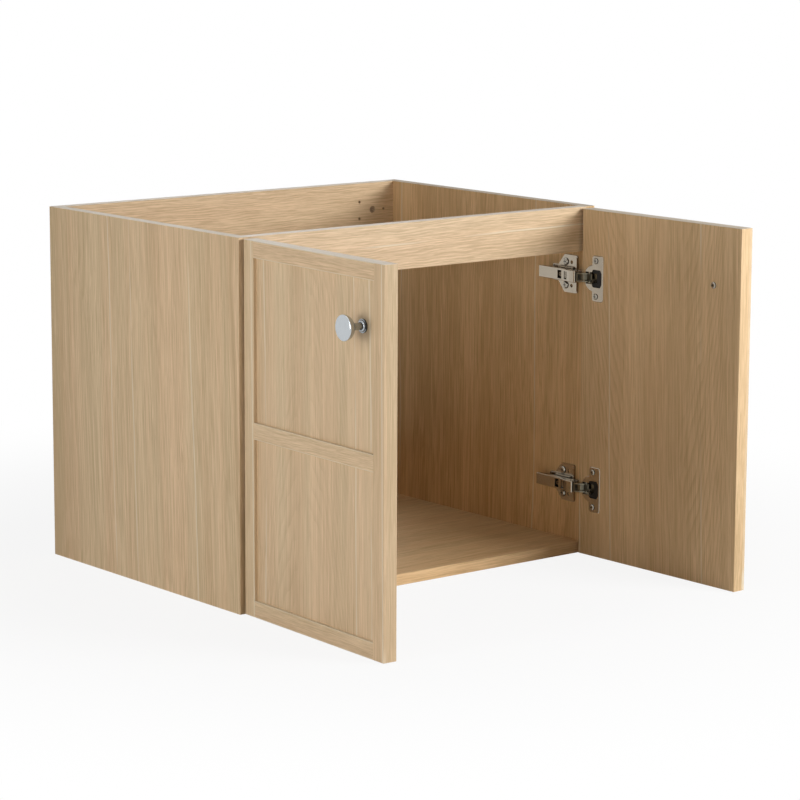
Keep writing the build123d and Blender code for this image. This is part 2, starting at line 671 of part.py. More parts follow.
def hinge_arm(side, name, level):
    """Folded channel: web with a window and a slot, cheeks that hold both arm pins."""
    front = -ARM_NOSE
    rear = ARM_LENGTH - ARM_NOSE
    web = (
        (ARM_NOSE_HEIGHT, front),
        (ARM_NOSE_HEIGHT, ARM_SHOULDER),
        (ARM_KNEE_HEIGHT, ARM_KNEE),
        (ARM_TAIL_HEIGHT, rear),
    )
    with BuildPart() as arm:
        with BuildSketch(SEEN_FROM_ABOVE.offset(level)):
            with BuildLine():
                Polyline((ARM_CHEEK_LOW, front), *web, (ARM_CHEEK_HIGH, rear),
                         (ARM_CHEEK_HIGH, ARM_SHOULDER + ARM_CHEEK_HIGH - ARM_CHEEK_LOW),
                         (ARM_CHEEK_LOW, ARM_SHOULDER), close=True)
            make_face()
        extrude(amount=ARM_WIDTH / 2, both=True)
        fillet(arm.edges().filter_by(Axis.Z), ARM_CORNER)
        chamfer(arm.faces().filter_by(Axis.Z).edges(), ARM_BEVEL)
        with BuildSketch(SEEN_FROM_ABOVE.offset(level)):
            with BuildLine():
                Polyline(*[(up - ARM_SHEET, back) for up, back in web], (0, rear), (0, front), close=True)
            make_face()
        extrude(amount=ARM_WIDTH / 2 - ARM_SHEET, both=True, mode=Mode.SUBTRACT)
        with BuildSketch(side_face(level, ARM_NOSE_HEIGHT)):
            with Locations((WINDOW_START, 0)):
                Rectangle(WINDOW_LENGTH, WINDOW_HEIGHT, align=(Align.MIN, Align.CENTER))
            with Locations((SLOT_START, 0)):
                Rectangle(SLOT_LENGTH, SLOT_HEIGHT, align=(Align.MIN, Align.CENTER))
        extrude(amount=ARM_CHEEK_HIGH - ARM_NOSE_HEIGHT, mode=Mode.SUBTRACT)
        with BuildSketch(SEEN_FROM_ABOVE.offset(level)):
            with Locations(OUTER_PIVOT, INNER_PIVOT):
                Circle(PIN / 2)
        extrude(amount=ARM_WIDTH / 2, both=True, mode=Mode.SUBTRACT)
        if side == "right":
            mirror(about=Plane.YZ, mode=Mode.REPLACE)
    finish(arm, f"{side}_{name}_hinge_arm")


def arm_pins(side):
    """Riveted pins through the arms' cheeks, one for each link."""
    with BuildPart() as pins:
        for level in HINGE_LEVELS.values():
            with BuildSketch(SEEN_FROM_ABOVE.offset(level)):
                with Locations(OUTER_PIVOT, INNER_PIVOT):
                    Circle(PIN / 2)
            extrude(amount=ARM_WIDTH / 2, both=True)
            for outward in (-1, 1):
                with BuildSketch(SEEN_FROM_ABOVE.offset(level + outward * ARM_WIDTH / 2)):
                    with Locations(OUTER_PIVOT, INNER_PIVOT):
                        Circle(PIN_HEAD / 2)
                extrude(amount=outward * PIN_HEAD_HEIGHT)
        if side == "right":
            mirror(about=Plane.YZ, mode=Mode.REPLACE)
    finish(pins, f"{side}_arm_pins")


def hinge_plate(side, name, level):
    """Winged mounting plate with a ridge that the arm sits over and a low guide along each cheek."""
    wing_end = PLATE_START + PLATE_WING_LENGTH
    wing = PLATE_WING_HEIGHT / 2
    tail = PLATE_TAIL_HEIGHT / 2
    ridge_width = ARM_WIDTH - 2 * ARM_SHEET - 2 * LINK_CLEARANCE
    outline = (
        (PLATE_START, wing),
        (wing_end - PLATE_WING_TAPER, wing),
        (wing_end, tail),
        (wing_end + PLATE_TAIL_LENGTH, tail),
    )
    with BuildPart() as plate:
        with BuildSketch(side_face(level)):
            with BuildLine():
                Polyline(*outline, *[(back, -up) for back, up in reversed(outline)], close=True)
            make_face()
        extrude(amount=PLATE_SHEET)
        fillet(plate.edges().filter_by(Axis.X), PLATE_CORNER)
        with BuildSketch(side_face(level, PLATE_SHEET)):
            with Locations((PLATE_START, 0)):
                Rectangle(PLATE_LIP, PLATE_WING_HEIGHT - 2 * PLATE_CORNER, align=(Align.MIN, Align.CENTER))
        extrude(amount=PLATE_LIP_HEIGHT)
        with BuildSketch(side_face(level, PLATE_SHEET)):
            with Locations((PLATE_START + RIDGE_START, 0)):
                Rectangle(RIDGE_LENGTH, ridge_width, align=(Align.MIN, Align.CENTER))
        extrude(amount=RIDGE_HEIGHT - PLATE_SHEET)
        with BuildSketch(side_face(level, PLATE_SHEET)):
            with Locations((PLATE_START + GUIDE_START + GUIDE_LENGTH / 2, 0)):
                with GridLocations(0, ARM_WIDTH + 2 * GUIDE_GAP + GUIDE_SHEET, 1, 2):
                    Rectangle(GUIDE_LENGTH, GUIDE_SHEET)
        extrude(amount=GUIDE_HEIGHT)
        with BuildSketch(side_face(level)):
            with Locations((PLATE_SCREW_LINE, 0)):
                with GridLocations(0, PLATE_SCREW_SPREAD, 1, 2):
                    SlotCenterToCenter(PLATE_SLOT_LENGTH, PLATE_SCREW + 2 * SCREW_FIT, rotation=90)
            with Locations((PLATE_START + SPARE_HOLE_LEAD, 0)):
                with GridLocations(0, PLATE_SCREW_SPREAD, 1, 2):
                    Circle(SPARE_HOLE / 2)
        extrude(amount=PLATE_SHEET, mode=Mode.SUBTRACT)
        with BuildSketch(side_face(level, RIDGE_HEIGHT)):
            with Locations((SIDE_SCREW_LINE, 0), (DEPTH_SCREW_LINE, 0)):
                Circle(ADJUSTER / 2 + SCREW_FIT)
        extrude(amount=-ADJUSTER_GRIP - SCREW_FIT, mode=Mode.SUBTRACT)
        if side == "right":
            mirror(about=Plane.YZ, mode=Mode.REPLACE)
    finish(plate, f"{side}_{name}_hinge_plate")


def plate_screws(side):
    """Four wood screws through the plates' slots into the side panel."""
    with BuildPart() as screws:
        for level in HINGE_LEVELS.values():
            for up in (-PLATE_SCREW_SPREAD / 2, PLATE_SCREW_SPREAD / 2):
                face = side_face(level + up, PLATE_SHEET)
                plane = Plane(face.from_local_coords((PLATE_SCREW_LINE, 0, 0)), face.x_dir, face.z_dir)
                add(screw(plane, PLATE_SCREW, PLATE_SCREW_LENGTH, PLATE_SCREW_HEAD,
                          PLATE_SCREW_HEAD_HEIGHT))
        if side == "right":
            mirror(about=Plane.YZ, mode=Mode.REPLACE)
    finish(screws, f"{side}_plate_screws")


def arm_adjusters(side, name, level):
    """Side and depth adjusting screws, from inside the arm's web down into the ridge."""
    with BuildPart() as screws:
        for line in (SIDE_SCREW_LINE, DEPTH_SCREW_LINE):
            web = ARM_KNEE_HEIGHT - ARM_SHEET - ADJUSTER_SINK - ADJUSTER_HEAD_HEIGHT
            face = side_face(level, web)
            plane = Plane(face.from_local_coords((line, 0, 0)), face.x_dir, face.z_dir)
            add(screw(plane, ADJUSTER, web - RIDGE_HEIGHT + ADJUSTER_GRIP, ADJUSTER_HEAD,
                      ADJUSTER_HEAD_HEIGHT))
        if side == "right":
            mirror(about=Plane.YZ, mode=Mode.REPLACE)
    finish(screws, f"{side}_{name}_arm_adjusters")


os.makedirs("parts", exist_ok=True)

bottom_panel()
rail("front_top_rail", 0, CARCASS_HEIGHT - FRONT_RAIL_HEIGHT, FRONT_RAIL_HEIGHT, FRONT_RAIL_DOWELS)
rail("back_top_rail", CARCASS_DEPTH - BOARD, CARCASS_HEIGHT - BACK_RAIL_HEIGHT, BACK_RAIL_HEIGHT,
     BACK_RAIL_DOWELS)
rail("back_bottom_rail", CARCASS_DEPTH - BOARD, BOARD, FOOT_RAIL_HEIGHT, FOOT_RAIL_DOWELS)
panel_dowels()

for side, opening in OPENINGS.items():
    side_panel(side)
    door_board(side, opening)
    door_strips(side, opening)
    knob(side, opening)
    knob_screw(side, opening)
    plate_screws(side)
    arm_pins(side)
    cup_pins(side, opening)
    cup_screws(side, opening)
    for name, level in HINGE_LEVELS.items():
        hinge_plate(side, name, level)
        hinge_arm(side, name, level)
        arm_adjusters(side, name, level)
        outer_link(side, opening, name, level)
        inner_link(side, opening, name, level)
        hinge_cup(side, opening, name, level)
        cup_insert(side, opening, name, level)
    pivot, corner, outer_turn, inner_turn = stance(opening)
    print(side, "door open", opening, "cup pivot", pivot, "corner", corner)

print("outer link pivot", OUTER_PIVOT, "swing", OUTER_SWING)
print("inner link pivot", INNER_PIVOT, "swing", INNER_SWING)
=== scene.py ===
# %% [markdown]
# # Vanity base cabinet
#
# The frame brings in every rigid piece at its real size, and this script dresses those
# pieces. It gives each visible surface its finish, and sets the camera where the photograph
# was taken from, a floor and the lamps. Lengths are in metres. Each step has a few
# sentences on the real object first, then short code.

# %% Load the frame
import math

import bpy
from mathutils import Matrix, Vector


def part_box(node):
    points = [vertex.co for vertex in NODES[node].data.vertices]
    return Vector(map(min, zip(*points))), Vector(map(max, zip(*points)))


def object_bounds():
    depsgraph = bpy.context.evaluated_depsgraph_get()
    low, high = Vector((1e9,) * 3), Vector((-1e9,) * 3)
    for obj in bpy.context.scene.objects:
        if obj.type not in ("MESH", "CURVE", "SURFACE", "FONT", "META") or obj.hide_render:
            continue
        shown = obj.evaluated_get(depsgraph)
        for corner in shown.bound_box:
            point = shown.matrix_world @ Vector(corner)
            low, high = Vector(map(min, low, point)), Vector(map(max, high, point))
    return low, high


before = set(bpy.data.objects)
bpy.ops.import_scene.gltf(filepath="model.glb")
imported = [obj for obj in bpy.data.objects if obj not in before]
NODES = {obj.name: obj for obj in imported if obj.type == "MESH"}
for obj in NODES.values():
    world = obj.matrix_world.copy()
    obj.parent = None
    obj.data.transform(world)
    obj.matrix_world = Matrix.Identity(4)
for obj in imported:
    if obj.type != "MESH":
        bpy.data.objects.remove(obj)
CAD_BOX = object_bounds()
print("nodes", len(NODES), "box", CAD_BOX)

# %% [markdown]
# ## Camera
#
# The viewpoint was worked out from the straight edges of the carcass and the doors: it is
# about 39 degrees round to the left of the front and 10 degrees above, with a long lens.
# A camera's own axes are right, up and backwards, so those three go into its matrix.

# %% Camera
AZIMUTH = math.radians(38.878)
ELEVATION = math.radians(10.058)
ROLL = math.radians(0.242)
CAMERA_PLACE = Vector((-2.437, -3.188, 0.923))
SENSOR_WIDTH = 36.0
FOCAL_PER_FRAME = 3.76
FAR_CLIP = 50.0


def add_camera():
    """Camera whose forward direction follows from azimuth and elevation, turned by the roll."""
    forward = Vector((
        math.sin(AZIMUTH) * math.cos(ELEVATION),
        math.cos(AZIMUTH) * math.cos(ELEVATION),
        -math.sin(ELEVATION),
    ))
    level = forward.cross(Vector((0, 0, 1))).normalized()
    upright = level.cross(forward)
    right = math.cos(ROLL) * level + math.sin(ROLL) * upright
    up = math.cos(ROLL) * upright - math.sin(ROLL) * level
    lens = bpy.data.cameras.new("camera")
    lens.sensor_width = SENSOR_WIDTH
    lens.lens = SENSOR_WIDTH * FOCAL_PER_FRAME
    lens.clip_end = FAR_CLIP
    camera = bpy.data.objects.new("camera", lens)
    turn = Matrix((right, up, -forward)).transposed().to_4x4()
    camera.matrix_world = Matrix.Translation(CAMERA_PLACE) @ turn
    bpy.context.scene.collection.objects.link(camera)
    bpy.context.scene.camera = camera
    return camera


print("camera", add_camera().data.lens, "mm lens")

# %% [markdown]
# ## Small helpers for node materials
#
# Every finish is a node tree. These helpers keep the cells short: the first makes a node
# and sets its inputs, and the others stand for one or two nodes each, so that a formula
# can be read as a formula. The last one starts a material from its shader.

# %% Node helpers
def node(tree, kind, inputs=None, **settings):
    """New node of a kind, with settings as attributes and inputs as values or links."""
    made = tree.nodes.new(kind)
    for key, value in settings.items():
        setattr(made, key, value)
    for key, value in (inputs or {}).items():
        if isinstance(value, bpy.types.NodeSocket):
            tree.links.new(value, made.inputs[key])
        else:
            made.inputs[key].default_value = value
    return made


def maths(tree, operation, first, second=0.0, third=0.0):
    """Result of one Math node."""
    made = node(tree, "ShaderNodeMath", {0: first, 1: second, 2: third}, operation=operation)
    return made.outputs[0]


def part(tree, place, axis):
    """One number of a place: 0 is X, 1 is Y and 2 is Z."""
    return node(tree, "ShaderNodeSeparateXYZ", {0: place}).outputs[axis]


def apart(tree, first, second):
    """Distance |first - second|."""
    return maths(tree, "ABSOLUTE", maths(tree, "SUBTRACT", first, second))


def between(tree, value, low, high):
    """Smooth step from 0 at low to 1 at high, also where low is the larger number."""
    made = node(tree, "ShaderNodeMapRange", {"Value": value, "From Min": low, "From Max": high},
                interpolation_type="SMOOTHSTEP")
    return made.outputs["Result"]


def mixed(tree, share, first, second, blend="MIX"):
    """Two colours mixed by a share."""
    made = node(tree, "ShaderNodeMix", data_type="RGBA", blend_type=blend)
    for index, value in ((0, share), (6, first), (7, second)):
        if isinstance(value, bpy.types.NodeSocket):
            tree.links.new(value, made.inputs[index])
        elif index == 0:
            made.inputs[index].default_value = value
        else:
            made.inputs[index].default_value = (*value, 1.0)
    return made.outputs[2]


def noise(tree, place, scale, detail=2.0, roughness=0.5):
    """Noise factor at a place."""
    made = node(tree, "ShaderNodeTexNoise",
                {"Vector": place, "Scale": scale, "Detail": detail, "Roughness": roughness})
    return made.outputs["Fac"]


def shaded(colour, factor):
    """Colour times one factor, at most 1."""
    return tuple(min(1.0, factor * channel) for channel in colour)


def new_material(name, **constants):
    """Material with a Principled shader, and its tree and shader."""
    material = bpy.data.materials.new(name)
    material.use_nodes = True
    tree = material.node_tree
    shader = tree.nodes["Principled BSDF"]
    for key, value in constants.items():
        shader.inputs[key.replace("_", " ")].default_value = value
    return material, tree, shader


# %% [markdown]
# ## Light oak film
#
# The boards are chipboard faced with a printed oak film. The print has broad soft bands,
# streaks that run nearly the whole height, fine fibres, short dark pores, and here and
# there a thin pale line; on the doors some growth rings open into arches. Blender's Wave
# texture makes rings too, but they come out as even stripes. Here the print is a sum of
# noises, each stretched along the grain by another amount, because real streaks differ in
# width and length, with thin wavy lines over it where the growth rings were cut. Every
# board has its own grain frame, in which Z runs along the grain, X across it and Y into
# the board, so one function dresses them all.

# %% Grain frame and layers
GRAIN_LAYERS = (
    {"across": 24.0, "along": 0.6, "detail": 1.0, "weight": 1.00},
    {"across": 80.0, "along": 1.4, "detail": 2.0, "weight": 0.55},
    {"across": 280.0, "along": 3.5, "detail": 2.0, "weight": 0.65},
    {"across": 900.0, "along": 9.0, "detail": 2.0, "weight": 2.40},
    {"across": 420.0, "along": 30.0, "detail": 1.0, "weight": 0.35},
)
LAYER_ROUGHNESS = 0.6
WHOLE_BOARD = 1.0
SLOW_SWAY = {"across": 6.0, "along": 2.2, "detail": 1.0}
SLOW_PUSH = 0.016
QUICK_SWAY = {"across": 50.0, "along": 14.0, "detail": 1.0}


def grain_place(tree, origin, turn, seed):
    """Object coordinates, and the same in a board's grain frame, moved by a seed in Y and Z.

    The Mapping node's Texture kind undoes a move and a turn, so origin and turn say where
    the frame stands on the object, and X stays a distance from that origin.
    """
    raw = node(tree, "ShaderNodeTexCoord").outputs["Object"]
    frame_place = node(tree, "ShaderNodeMapping",
                       {"Vector": raw, "Location": origin, "Rotation": turn}, vector_type="TEXTURE")
    moved = node(tree, "ShaderNodeVectorMath", {0: frame_place.outputs[0], 1: (0.0, seed, seed)})
    return raw, moved.outputs[0]


def grain_noise(tree, place, across, along, detail=2.0, roughness=0.5):
    """Noise with so many waves per metre across the grain and so many along it."""
    stretched = node(tree, "ShaderNodeVectorMath", {0: place, 1: (across, across, along)},
                     operation="MULTIPLY")
    return noise(tree, stretched.outputs[0], 1.0, detail, roughness)


def swayed(tree, place, waves):
    """Place pushed sideways: x + SLOW_PUSH * (slow noise - 0.5) + waves * (quick noise - 0.5)."""
    pushes = []
    for sway, size in ((SLOW_SWAY, SLOW_PUSH), (QUICK_SWAY, waves)):
        value = grain_noise(tree, place, **sway)
        pushes.append(maths(tree, "MULTIPLY_ADD", value, size, -size / 2))
    push = maths(tree, "ADD", *pushes)
    sideways = node(tree, "ShaderNodeCombineXYZ", {0: push, 1: push})
    return node(tree, "ShaderNodeVectorMath", {0: place, 1: sideways.outputs[0]}).outputs[0]


def grain_tone(tree, place, contrast, shorter):
    """Brightness of the streaks: 0.5 + contrast * sum of weight * (noise - 0.5) over the layers.

    Layers with at most WHOLE_BOARD waves per metre keep their length, and the others get
    shorter by a factor.
    """
    tone = 0.5
    for layer in GRAIN_LAYERS:
        factor = shorter if layer["along"] > WHOLE_BOARD else 1.0
        value = grain_noise(tree, place, layer["across"], layer["along"] * factor,
                            layer["detail"], LAYER_ROUGHNESS)
        centred = maths(tree, "SUBTRACT", value, 0.5)
        tone = maths(tree, "MULTIPLY_ADD", centred, contrast * layer["weight"], tone)
    return tone


# %% [markdown]
# Growth rings that were cut along the trunk show as thin lines, sharp on the side where a
# year's dense summer wood ends, and fading on the other. The fraction of a growing number,
# its phase, makes such lines. Near the middle of the trunk they lie side by side, and a cut
# further out joins them in arches, whose phase is a parabola's formula.

# %% Rings and arches
RING_NOISE_ACROSS = 45.0
RING_LENGTH = 3.5
RING_WAVES = 4.0
RING_FADE = 0.7
RING_PATCH_ACROSS = 110.0
RING_PATCH_LENGTH = 1.3 * RING_LENGTH
RING_PATCH_STEP = (0.32, 0.62)
RING_MEAN = 0.25
ARCH_NOISE = {"across": 40.0, "along": 5.0}
ARCH_WAVES = 2.4
ARCH_FADE = 0.6
ARCH_PATCH = {"across": 14.0, "along": 5.0}
ARCH_PATCH_STEP = (0.35, 0.62)
ARCH_END_FADE = 0.02


def fading_line(tree, phase, fade):
    """Line that is sharp on one side: 1 - smoothstep(0, fade, fraction of the phase)."""
    return maths(tree, "SUBTRACT", 1.0, between(tree, maths(tree, "FRACT", phase), 0.0, fade))


def ring_lines(tree, place, spacing, shorter):
    """Thin dark lines a spacing apart, which wave together and come and go in patches.

    phase = x / spacing + RING_WAVES * noise.
    """
    steady = maths(tree, "MULTIPLY", part(tree, place, 0), 1.0 / spacing)
    uneven = grain_noise(tree, place, RING_NOISE_ACROSS, RING_LENGTH * shorter)
    phase = maths(tree, "MULTIPLY_ADD", uneven, RING_WAVES, steady)
    patches = grain_noise(tree, place, RING_PATCH_ACROSS, RING_PATCH_LENGTH * shorter)
    return maths(tree, "MULTIPLY", fading_line(tree, phase, RING_FADE),
                 between(tree, patches, *RING_PATCH_STEP))


def arch_lines(tree, place, middle, opening, spacing, near, far, end, depth):
    """Growth rings cut lengthwise, as deep as depth.

    phase = ((x - middle)^2 - opening * z) / spacing + ARCH_WAVES * noise. Equal phases are
    parabolas that open along the grain. The lines fade in between near and far from the
    middle, and stop at end, short of the board's free edge, which has straight grain.
    """
    across = part(tree, place, 0)
    side = maths(tree, "SUBTRACT", across, middle)
    rise = maths(tree, "MULTIPLY", part(tree, place, 2), -opening / spacing)
    steady = maths(tree, "MULTIPLY_ADD", maths(tree, "MULTIPLY", side, side), 1.0 / spacing, rise)
    phase = maths(tree, "MULTIPLY_ADD", grain_noise(tree, place, **ARCH_NOISE), ARCH_WAVES, steady)
    patches = between(tree, grain_noise(tree, place, **ARCH_PATCH), *ARCH_PATCH_STEP)
    rings = maths(tree, "MULTIPLY", fading_line(tree, phase, ARCH_FADE), patches)
    window = between(tree, maths(tree, "ABSOLUTE", side), near, far)
    window = maths(tree, "MULTIPLY", window, between(tree, across, end, end - ARCH_END_FADE))
    window = maths(tree, "MULTIPLY", window, depth)
    return maths(tree, "MULTIPLY", rings, window)


# %% [markdown]
# A few marks have a place of their own on a board: soft bands of darker or lighter wood,
# one of which is painted shade, and thin pale lines where a fibre catches the light. A
# board's upper edge is not printed but has a plain band, greyer than the film. Along the
# rim of a strip a pale line shows, partly the pale edge where the film is folded or trimmed
# and partly a painted highlight where the rim catches the light.

# %% Marks with a place of their own
BAND_COLOUR = (0.760, 0.640, 0.490)
BAND_SKIN = 0.0003
BAND_GRAIN = 700.0
PALE_PATCH = {"across": 20.0, "along": 5.0}
PALE_PATCH_STEP = (0.32, 0.55)
PALE_STEP = (0.00165, 0.00044)
RIM_STEP = (0.0012, 0.00072)


def soft_bands(tree, place, bands):
    """Sum of amount * (1 - smoothstep(0, 1, |x - centre| / half_width)) over the wide bands."""
    across = part(tree, place, 0)
    total = 0.0
    for centre, half_width, amount in bands:
        share = between(tree, apart(tree, across, centre), half_width, 0.0)
        total = maths(tree, "MULTIPLY_ADD", share, amount, total)
    return total


def pale_lines(tree, place, offsets):
    """Thin pale lines along the grain at distances x from the frame's origin, gently fading."""
    across = part(tree, place, 0)
    total = 0.0
    for offset in offsets:
        line = between(tree, apart(tree, across, offset), *PALE_STEP)
        total = maths(tree, "ADD", line, total)
    patches = grain_noise(tree, place, **PALE_PATCH)
    return maths(tree, "MULTIPLY", total, between(tree, patches, *PALE_PATCH_STEP))


def rim_edge_and_highlight(tree, straight, raw, rims, ledges):
    """1 along the rims, at distances across the frame, and the ledges, at heights of the object: a pale
    film edge with a painted highlight.
    """
    total = 0.0
    for source, axis, places in ((straight, 0, rims), (raw, 2, ledges)):
        value = part(tree, source, axis)
        for place in places:
            total = maths(tree, "ADD", between(tree, apart(tree, value, place), *RIM_STEP), total)
    return maths(tree, "MINIMUM", total, 1.0)


def top_band(tree, raw, colour, top):
    """Plain speckled band where the height is at the board's top, the film elsewhere."""
    on_top = maths(tree, "GREATER_THAN", part(tree, raw, 2), top - BAND_SKIN)
    speck = noise(tree, raw, BAND_GRAIN, detail=3.0)
    band = mixed(tree, speck, shaded(BAND_COLOUR, 0.9), shaded(BAND_COLOUR, 1.1))
    return mixed(tree, on_top, colour, band)


# %% [markdown]
# The film joins those parts. Tone, which is the streaks less the rings plus the bands,
# picks a place between the dark and the light wood. Wide stripes lean to pink or to green,
# and pores, pale lines and the plain edge go over them. The bump is a tenth of a
# millimetre at most, so it only breaks the gloss.

# %% Oak film
OAK_DARK = (0.520, 0.368, 0.212)
OAK_LIGHT = (0.760, 0.566, 0.360)
OAK_PORE = (0.360, 0.235, 0.125)
OAK_PALE = (0.760, 0.680, 0.520)
PINK_TINT = (1.035, 0.985, 0.965)
GREEN_TINT = (0.965, 1.015, 1.005)
HUE_STRIPES = {"across": 32.0, "along": 0.9, "detail": 1.0}
HUE_STEP = (0.3, 0.7)
PORES = {"across": 1500.0, "along": 60.0, "detail": 1.0}
PORE_STEP = (0.62, 0.74)
PORE_SHARE = 0.22
PALE_SHARE = 0.62
RIM_EDGE_AND_HIGHLIGHT_SHARE = 0.6
FILM_ROUGHNESS = 0.52
TONE_ROUGHNESS = -0.12
TONE_RELIEF = 0.6
PORE_DEPTH = 0.0001
BUMP_STRENGTH = 0.35


def print_tone(tree, place, contrast, shorter, rings, spacing, arches, bands):
    """Streaks - rings * (ring lines - RING_MEAN) - arches + soft bands."""
    tone = grain_tone(tree, place, contrast, shorter)
    tone = maths(tree, "MULTIPLY_ADD", ring_lines(tree, place, spacing, shorter), -rings, tone)
    tone = maths(tree, "ADD", tone, RING_MEAN * rings)
    if arches:
        tone = maths(tree, "MULTIPLY_ADD", arch_lines(tree, place, **arches), -1.0, tone)
    if bands:
        tone = maths(tree, "ADD", soft_bands(tree, place, bands), tone)
    return tone


def wood_colour(tree, place, tone, painted_warmth, tint):
    """Dark to light wood by tone, both times painted_warmth (painted warm light inside), with stripes
    that lean to pink or green.
    """
    dark = tuple(channel * factor for channel, factor in zip(OAK_DARK, painted_warmth))
    light = tuple(channel * factor for channel, factor in zip(OAK_LIGHT, painted_warmth))
    hue = between(tree, grain_noise(tree, place, **HUE_STRIPES), *HUE_STEP)
    leaning = mixed(tree, hue, PINK_TINT, GREEN_TINT)
    return mixed(tree, tint, mixed(tree, tone, dark, light), leaning, "MULTIPLY")


def oak(name, origin, turn, seed, contrast=1.0, shorter=1.0, waves=0.002, rings=0.12,
        spacing=0.0046, arches=None, bands=(), pale=(), rims=(), ledges=(), top=None,
        painted_warmth=(1.0, 1.0, 1.0), tint=0.4, gloss=0.25):
    """Printed oak film in a board's grain frame.

    contrast scales the streaks, shorter shortens them and waves is how far they sway.
    rings is the depth of the ring lines and spacing the distance between them. arches,
    bands and pale place the arches, the soft bands and the pale lines. rims and ledges say
    where a strip's rims run, and top is the height of the plain upper edge. painted_warmth
    multiplies the wood's colours and is painted warm light on the faces inside, tint is
    how far they lean to pink or green, and gloss is the strength of the film's reflection.
    """
    material, tree, shader = new_material(name, Specular_IOR_Level=gloss)
    raw, straight = grain_place(tree, origin, turn, seed)
    place = swayed(tree, straight, waves)
    tone = print_tone(tree, place, contrast, shorter, rings, spacing, arches, bands)
    colour = wood_colour(tree, place, tone, painted_warmth, tint)
    pore = between(tree, grain_noise(tree, place, **PORES), *PORE_STEP)
    colour = mixed(tree, maths(tree, "MULTIPLY", pore, PORE_SHARE), colour, OAK_PORE)
    if pale:
        line = maths(tree, "MULTIPLY", pale_lines(tree, place, pale), PALE_SHARE)
        colour = mixed(tree, line, colour, OAK_PALE)
    # Pale film edge and painted highlight along the rims and ledges.
    if rims or ledges:
        line = maths(tree, "MULTIPLY", rim_edge_and_highlight(tree, straight, raw, rims, ledges), RIM_EDGE_AND_HIGHLIGHT_SHARE)
        colour = mixed(tree, line, colour, OAK_PALE)
    if top is not None:
        colour = top_band(tree, raw, colour, top)
    tree.links.new(colour, shader.inputs["Base Color"])
    roughness = maths(tree, "MULTIPLY_ADD", tone, TONE_ROUGHNESS, FILM_ROUGHNESS)
    tree.links.new(roughness, shader.inputs["Roughness"])
    relief = maths(tree, "MULTIPLY_ADD", pore, -1.0, maths(tree, "MULTIPLY", tone, TONE_RELIEF))
    bump = node(tree, "ShaderNodeBump",
                {"Height": relief, "Strength": BUMP_STRENGTH, "Distance": PORE_DEPTH})
    tree.links.new(bump.outputs["Normal"], shader.inputs["Normal"])
    return material


def dress(material, *names):
    """Give a material to CAD nodes."""
    for name in names:
        slots = NODES[name].data.materials
        slots.clear()
        slots.append(material)


# %% [markdown]
# ## Carcass
#
# The side panels have upright grain, and the rails and the bottom have level grain, as
# every board is cut with its grain along its length. A side panel's grain frame has X
# towards the back, and a level board's has X down and Z along the board. The print leans
# by a degree or two, because film is never laid dead straight. The left side's outer face
# has a broad darker band towards the back, and a dark line at its front edge that is
# painted shade, where the open left door shades the gap. The faces seen inside get a
# warmer colour, painted warm light for the light bounced between the boards, and they are
# duller than the outer ones.

# %% Carcass boards
CARCASS_TOP = CAD_BOX[1][2]
CENTRE = (0.0, 0.0, 0.0)
SIDE_TURN = math.radians(90)
LEVEL = math.radians(90)
LEFT_SIDE_LEAN = math.radians(2.0)
RIGHT_SIDE_LEAN = math.radians(-0.5)
# Painted warm light: the inside faces are tinted for the light bounced between the boards.
PAINTED_INNER_WARM_LIGHT = (1.05, 0.99, 0.88)
LEFT_SIDE_BANDS_AND_GAP_SHADE = (
    (0.215, 0.130, -0.38),
    (-0.045, 0.016, -0.14),
    (-0.075, 0.020, 0.12),
    # The last band is painted shade on the front edge, in the gap that the open door shades.
    (-0.215, 0.006, -0.50),
)
RAIL_GRAIN = {"contrast": 0.95, "shorter": 3.0, "waves": 0.0018, "spacing": 0.0034, "top": CARCASS_TOP}

dress(oak("oak_left_side", CENTRE, (0.0, LEFT_SIDE_LEAN, SIDE_TURN), 1.3, tint=0.5, gloss=0.2,
          pale=(0.0600, 0.0105, -0.1200), bands=LEFT_SIDE_BANDS_AND_GAP_SHADE, top=CARCASS_TOP),
      "left_side_panel")
dress(oak("oak_right_side", CENTRE, (0.0, RIGHT_SIDE_LEAN, SIDE_TURN), 4.1, contrast=1.2, rings=0.15,
          tint=0.15, gloss=0.02, painted_warmth=PAINTED_INNER_WARM_LIGHT, pale=(0.1836, -0.1110), top=CARCASS_TOP),
      "right_side_panel")
dress(oak("oak_bottom", CENTRE, (0.0, LEVEL, 0.0), 2.7, shorter=2.0, gloss=0.08,
          painted_warmth=PAINTED_INNER_WARM_LIGHT), "bottom_panel")
dress(oak("oak_front_rail", CENTRE, (0.0, LEVEL, 0.0), 5.2, rings=0.62, gloss=0.5,
          pale=(-0.4500,), **RAIL_GRAIN), "front_top_rail")
dress(oak("oak_back_rail", CENTRE, (0.0, LEVEL, 0.0), 7.7, rings=0.50, gloss=0.3, **RAIL_GRAIN),
      "back_top_rail")
dress(oak("oak_foot_rail", CENTRE, (0.0, LEVEL, 0.0), 3.9, shorter=3.0), "back_bottom_rail")
print("carcass boards dressed, top at", CARCASS_TOP)

# %% [markdown]
# ## Doors
#
# Each door is a board with two upright stiles and three level strips on its front, and
# the grain follows each of them. A door's grain frame has X from the hinged corner along
# the open door. The left door shows its front in the photograph and the right door its
# inside, so each has its own arches, pale lines and gloss. A tape closes the free edge,
# and it is a little darker than the film.

